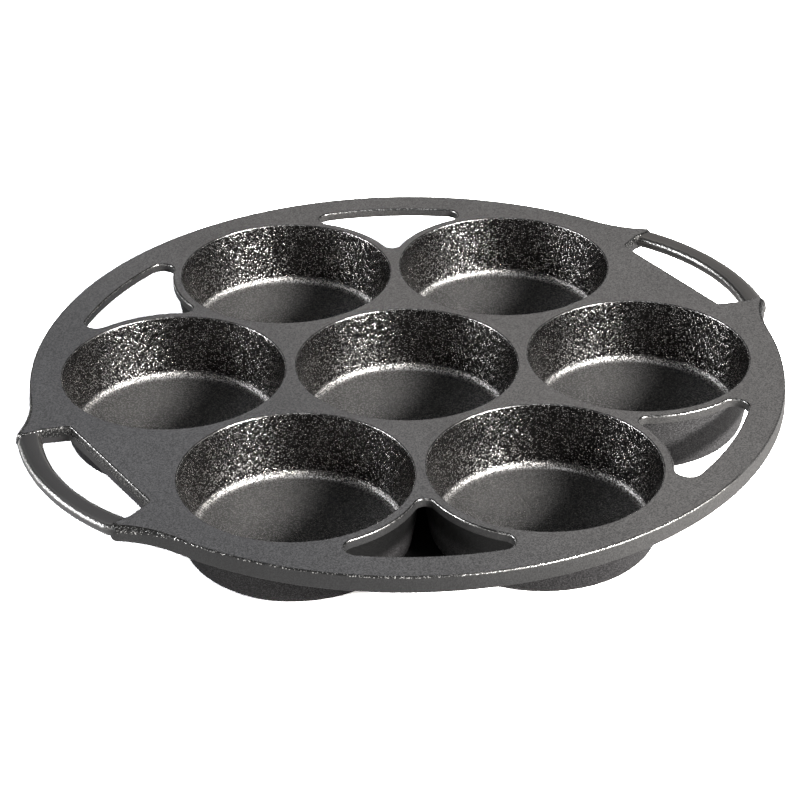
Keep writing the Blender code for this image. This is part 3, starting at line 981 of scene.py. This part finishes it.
def make_lathe_tree():
    """Spins a profile round an upright axis, which stands a reach from the origin in a turned direction."""
    tree = bpy.data.node_groups.new("cup_lathe", "GeometryNodeTree")
    tree.is_modifier = True
    face = tree.interface
    face.new_socket("Geometry", in_out="OUTPUT", socket_type="NodeSocketGeometry")
    face.new_socket("Profile", in_out="INPUT", socket_type="NodeSocketGeometry")
    for name, kind in (("Segments", "Int"), ("Reach", "Float"), ("Turn", "Float"), ("Iron", "Material")):
        face.new_socket(name, in_out="INPUT", socket_type="NodeSocket" + kind)
    given = tree.nodes.new("NodeGroupInput").outputs
    size = add_node(tree, "GeometryNodeAttributeDomainSize", {"Geometry": given["Profile"]})
    points = size.outputs["Point Count"]
    columns = calculate(tree, "ADD", given["Segments"], 1.0)
    grid = add_node(tree, "GeometryNodeMeshGrid", {"Vertices X": columns, "Vertices Y": points})
    index = tree.nodes.new("GeometryNodeInputIndex").outputs["Index"]
    column = add_node(tree, "FunctionNodeIntegerMath", {0: index, 1: points}, operation="DIVIDE").outputs[0]
    row = add_node(tree, "FunctionNodeIntegerMath", {0: index, 1: points}, operation="MODULO").outputs[0]
    step = calculate(tree, "DIVIDE", -math.tau, given["Segments"])
    angle = times(tree, column, step)
    position = tree.nodes.new("GeometryNodeInputPosition").outputs["Position"]
    place = sample_profile(tree, given["Profile"], row, position, "FLOAT_VECTOR")
    spun = turned(tree, place, angle)
    reach = add_node(tree, "ShaderNodeCombineXYZ", {"X": given["Reach"]}).outputs["Vector"]
    centre = turned(tree, reach, given["Turn"])
    moved = add_node(tree, "ShaderNodeVectorMath", {0: spun, 1: centre}, operation="ADD").outputs["Vector"]
    shaped = add_node(tree, "GeometryNodeSetPosition", {"Geometry": grid.outputs["Mesh"], "Position": moved})
    geometry = shaped.outputs["Geometry"]
    for name in SKIN_ZONES:
        read = add_node(tree, "GeometryNodeInputNamedAttribute", {"Name": name}, data_type="FLOAT")
        value = sample_profile(tree, given["Profile"], row, read.outputs["Attribute"], "FLOAT")
        inputs = {"Geometry": geometry, "Name": name, "Value": value}
        stored = add_node(tree, "GeometryNodeStoreNamedAttribute", inputs, data_type="FLOAT", domain="POINT")
        geometry = stored.outputs["Geometry"]
    merged = add_node(tree, "GeometryNodeMergeByDistance", {"Geometry": geometry, "Distance": MERGE_DISTANCE})
    real = add_node(tree, "GeometryNodeRealizeInstances", {"Geometry": merged.outputs["Geometry"]})
    inputs = {"Geometry": real.outputs["Geometry"], "Material": given["Iron"]}
    painted = add_node(tree, "GeometryNodeSetMaterial", inputs)
    tree.links.new(painted.outputs["Geometry"], tree.nodes.new("NodeGroupOutput").inputs["Geometry"])
    return tree


def sample_profile(tree, profile, row, value, kind):
    """A value of the profile's point in a row."""
    inputs = {"Geometry": profile, "Index": row, "Value": value}
    return add_node(tree, "GeometryNodeSampleIndex", inputs, data_type=kind, domain="POINT").outputs["Value"]


def turned(tree, vector, angle):
    inputs = {"Vector": vector, "Angle": angle}
    return add_node(tree, "ShaderNodeVectorRotate", inputs, rotation_type="Z_AXIS").outputs["Vector"]


def make_cup(name, sizes, reach, turn, material):
    """A cup spun from its profile by the lathe tree, and made a plain mesh."""
    rows = cup_profile(sizes)
    section = bpy.data.meshes.new(name)
    edges = [(step, step + 1) for step in range(len(rows) - 1)]
    section.from_pydata([(row[0], 0, row[1]) for row in rows], edges, [])
    for column, label in enumerate(SKIN_ZONES, 2):
        layer = section.attributes.new(label, "FLOAT", "POINT")
        layer.data.foreach_set("value", [row[column] for row in rows])
    maker = bpy.data.objects.new(name + "_profile", section)
    bpy.context.scene.collection.objects.link(maker)
    tree = bpy.data.node_groups.get("cup_lathe") or make_lathe_tree()
    modifier = maker.modifiers.new("lathe", "NODES")
    modifier.node_group = tree
    values = {"Segments": sizes.mouth_segments, "Reach": reach, "Turn": turn, "Iron": material}
    for item in tree.interface.items_tree:
        if item.in_out == "INPUT" and item.name in values:
            modifier[item.identifier] = values[item.name]
    maker.update_tag()
    evaluated = maker.evaluated_get(bpy.context.evaluated_depsgraph_get())
    mesh = bpy.data.meshes.new_from_object(evaluated)
    mesh.name = name
    bpy.data.objects.remove(maker)
    return show_piece(name, mesh)


def make_bar(name, sizes, side, material):
    """The curved oval bar, with its ends run into the shoulders."""
    end_y = HANDLE_HALF_LENGTH + BAR_ROOT
    squareness = 2 / BAR_SQUARENESS
    centre_z = (BAR_TOP + BAR_BOTTOM) / 2
    half_height = (BAR_TOP - BAR_BOTTOM) / 2
    bm = bmesh.new()
    rings = []
    for step in range(BAR_STEPS + 1):
        y = end_y * (2 * step / BAR_STEPS - 1)
        into = max(0, (abs(y) - HANDLE_HALF_LENGTH) / BAR_ROOT)
        outer = bar_side(BAR_OUTER_X, BAR_OUTER_RADIUS, y) - BAR_ROOT_TAPER * into
        inner = bar_side(BAR_INNER_X, BAR_INNER_RADIUS, y)
        ring = []
        for turn in range(SECTION_STEPS):
            across = direction(math.tau * turn / SECTION_STEPS)
            wide = math.copysign(abs(across.x) ** squareness, across.x)
            high = math.copysign(abs(across.y) ** squareness, across.y)
            x = (outer + inner) / 2 + (outer - inner) / 2 * wide
            ring.append((side * x, y, centre_z + half_height * high))
        rings.append(add_ring(bm, ring))
    join_rings(bm, rings, 0)
    bm.faces.new(rings[0])
    bm.faces.new(rings[-1])
    bmesh.ops.recalc_face_normals(bm, faces=bm.faces)
    bm.normal_update()
    worn = bm.verts.layers.float.new("worn")
    for vert in bm.verts:
        vert[worn] = max(0, 1 - abs(vert.normal.z - BAR_SHINE) / BAR_SHINE_SPREAD)
    return add_piece(name, bm, [material])


def from_pan(azimuth, elevation, distance):
    """A point that far from the pan, at an angle from +X towards +Y and an angle above the table."""
    around, above = math.radians(azimuth), math.radians(elevation)
    level = distance * math.cos(above)
    return Vector((level * math.cos(around), level * math.sin(around), distance * math.sin(above)))


def add_softbox(name, power):
    """A rectangular soft light that faces the pan, and that the camera doesn't see."""
    azimuth, elevation, distance, width, height, colour = SOFTBOXES[name]
    lamp = bpy.data.lights.new(name, "AREA")
    lamp.shape = "RECTANGLE"
    lamp.size = width
    lamp.size_y = height
    lamp.energy = power
    lamp.color = colour
    box = bpy.data.objects.new(name, lamp)
    place = from_pan(azimuth, elevation, distance)
    box.location = place
    box.rotation_euler = (Vector((0, 0, DECK_TOP)) - place).to_track_quat("-Z", "Y").to_euler()
    box.visible_camera = False
    bpy.context.scene.collection.objects.link(box)


def add_floor(studio):
    half = FLOOR_HALF_WIDTH
    corners = [(-half, -half, 0), (half, -half, 0), (half, half, 0), (-half, half, 0)]
    mesh = bpy.data.meshes.new("floor")
    mesh.from_pydata(corners, [], [(0, 1, 2, 3)])
    mesh.materials.append(make_floor_material(studio))
    floor = bpy.data.objects.new("floor", mesh)
    bpy.context.scene.collection.objects.link(floor)


def add_camera():
    """The photograph's view. The camera's own axes are the columns of its matrix."""
    data = bpy.data.cameras.new("photo_camera")
    data.sensor_width = CAMERA_SENSOR
    data.lens = CAMERA_LENS
    data.clip_start = CAMERA_NEAREST
    data.clip_end = CAMERA_FARTHEST
    camera = bpy.data.objects.new("photo_camera", data)
    right, up = Vector(CAMERA_RIGHT), Vector(CAMERA_UP)
    axes = Matrix((right, up, right.cross(up))).transposed()
    camera.matrix_world = Matrix.Translation(CAMERA_PLACE) @ axes.to_4x4()
    bpy.context.scene.collection.objects.link(camera)
    bpy.context.scene.camera = camera


class CAKEPAN_OT_deck(bpy.types.Operator):
    """Make the pierced plate of the pan"""

    bl_idname = "cake_pan.deck"
    bl_label = "Make Plate"

    def execute(self, context):
        materials = [get_material(name, context.scene.pan_finish) for name in DECK_MATERIALS]
        place_in_frame(make_deck(context.scene.pan_sizes, materials), "deck_plate")
        return {"FINISHED"}


class CAKEPAN_OT_cups(bpy.types.Operator):
    """Make the seven cups"""

    bl_idname = "cake_pan.cups"
    bl_label = "Make Cups"

    def execute(self, context):
        sizes = context.scene.pan_sizes
        material = get_material("cup_iron_skin", context.scene.pan_finish)
        place_in_frame(make_cup("cup_middle", sizes, 0.0, 0.0, material), "cup_centre")
        for number, angle in enumerate(CUP_ANGLES, 1):
            cup = make_cup(f"cup_{number}", sizes, ring_radius(sizes), angle, material)
            place_in_frame(cup, f"cup_outer_{number}")
        return {"FINISHED"}


class CAKEPAN_OT_bars(bpy.types.Operator):
    """Make the two handle bars"""

    bl_idname = "cake_pan.bars"
    bl_label = "Make Handle Bars"

    def execute(self, context):
        sizes = context.scene.pan_sizes
        material = get_material("bar_iron_skin", context.scene.pan_finish)
        place_in_frame(make_bar("bar_left", sizes, -1, material), "handle_left")
        place_in_frame(make_bar("bar_right", sizes, 1, material), "handle_right")
        return {"FINISHED"}


class CAKEPAN_OT_stage(bpy.types.Operator):
    """Make the floor, the lights and the camera"""

    bl_idname = "cake_pan.stage"
    bl_label = "Make Studio"

    def execute(self, context):
        studio = context.scene.pan_studio
        add_floor(studio)
        make_sky(studio)
        add_softbox("key", studio.key_power)
        add_softbox("top", studio.top_power)
        add_softbox("fill", studio.fill_power)
        add_camera()
        context.scene.view_settings.view_transform = "Standard"
        return {"FINISHED"}


class VIEW3D_PT_cake_pan(bpy.types.Panel):
    """Lists the steps that make the pan"""

    bl_label = "Cake Pan"
    bl_space_type = "VIEW_3D"
    bl_region_type = "UI"
    bl_category = "Cake Pan"

    def draw(self, context):
        for group in (context.scene.pan_sizes, context.scene.pan_finish, context.scene.pan_studio):
            box = self.layout.box()
            for name in group.__annotations__:
                box.prop(group, name)
        for maker in (CAKEPAN_OT_deck, CAKEPAN_OT_cups, CAKEPAN_OT_bars, CAKEPAN_OT_stage):
            self.layout.operator(maker.bl_idname)


CLASSES = (
    PanSizes,
    IronFinish,
    StudioSettings,
    CAKEPAN_OT_deck,
    CAKEPAN_OT_cups,
    CAKEPAN_OT_bars,
    CAKEPAN_OT_stage,
    VIEW3D_PT_cake_pan,
)


def register():
    for kind in CLASSES:
        bpy.utils.register_class(kind)
    bpy.types.Scene.pan_sizes = PointerProperty(type=PanSizes)
    bpy.types.Scene.pan_finish = PointerProperty(type=IronFinish)
    bpy.types.Scene.pan_studio = PointerProperty(type=StudioSettings)


def unregister():
    del bpy.types.Scene.pan_studio
    del bpy.types.Scene.pan_finish
    del bpy.types.Scene.pan_sizes
    for kind in reversed(CLASSES):
        bpy.utils.unregister_class(kind)


def main():
    register()
    bpy.ops.cake_pan.deck()
    bpy.ops.cake_pan.cups()
    bpy.ops.cake_pan.bars()
    bpy.ops.cake_pan.stage()


if __name__ == "__main__":
    main()
